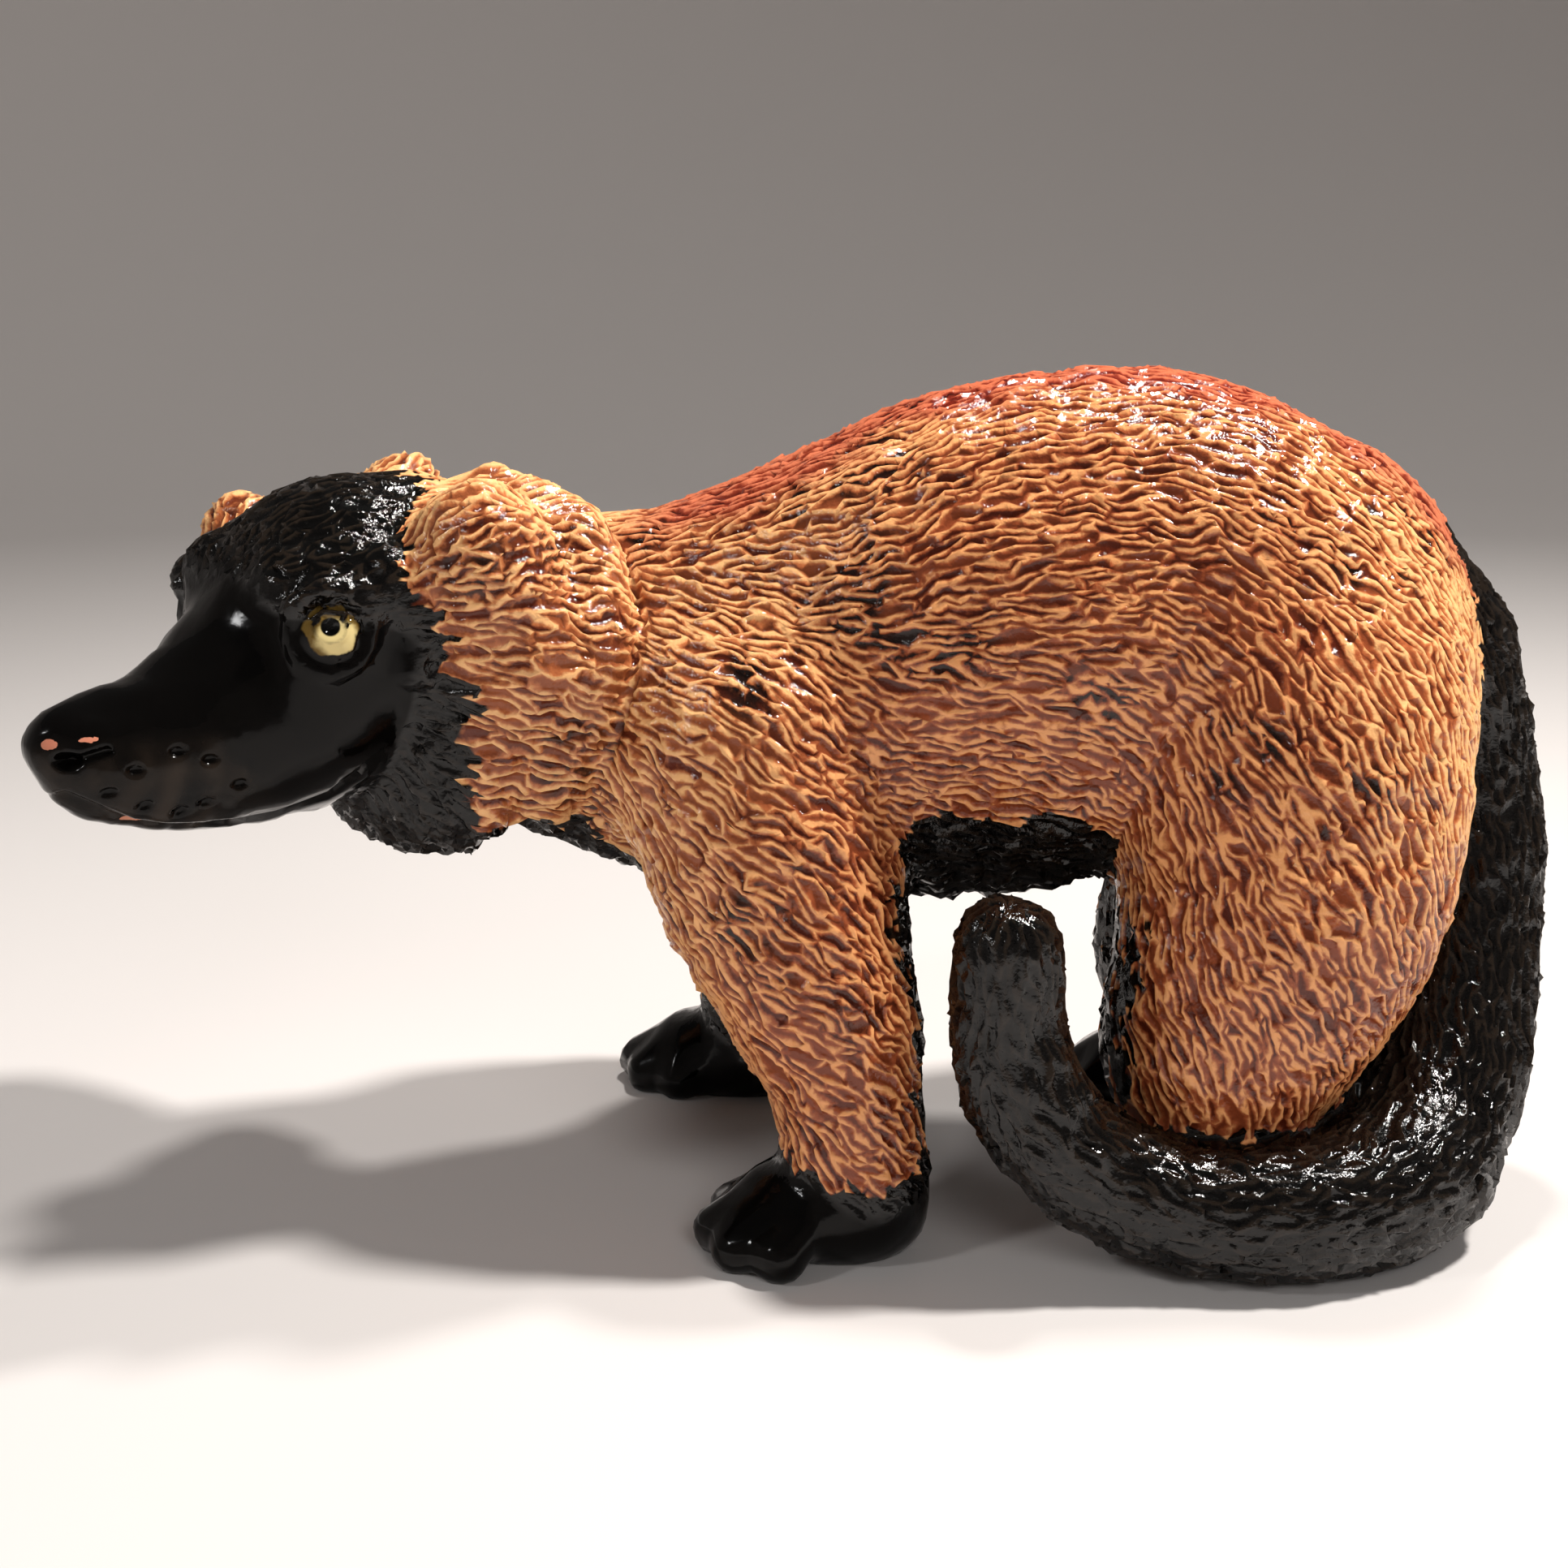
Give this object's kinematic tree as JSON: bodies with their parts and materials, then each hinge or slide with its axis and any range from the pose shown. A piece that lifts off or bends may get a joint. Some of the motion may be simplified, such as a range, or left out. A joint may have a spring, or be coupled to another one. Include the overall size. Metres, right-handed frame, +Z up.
{
  "type": "ceramic lemur sculpture",
  "caption": "Glazed ceramic lemur standing, head turned aside, orange body carved with locks of fur, smooth black face and paws, dark tail curled round one side to a raised tip.",
  "frame": {"origin": "on the ground, under the middle of the figure's bounding box", "axes": "+Z up; +X along the body towards the rump, so the nose points to -X and, with the head turned, to -Y; the tail's curl is on the -Y side"},
  "size_m": [0.1784, 0.0804, 0.1024],
  "materials": {
    "glaze": "gloss"
  },
  "bodies": {
    "root": {"lemur": "glaze"}
  },
  "joints": []
}
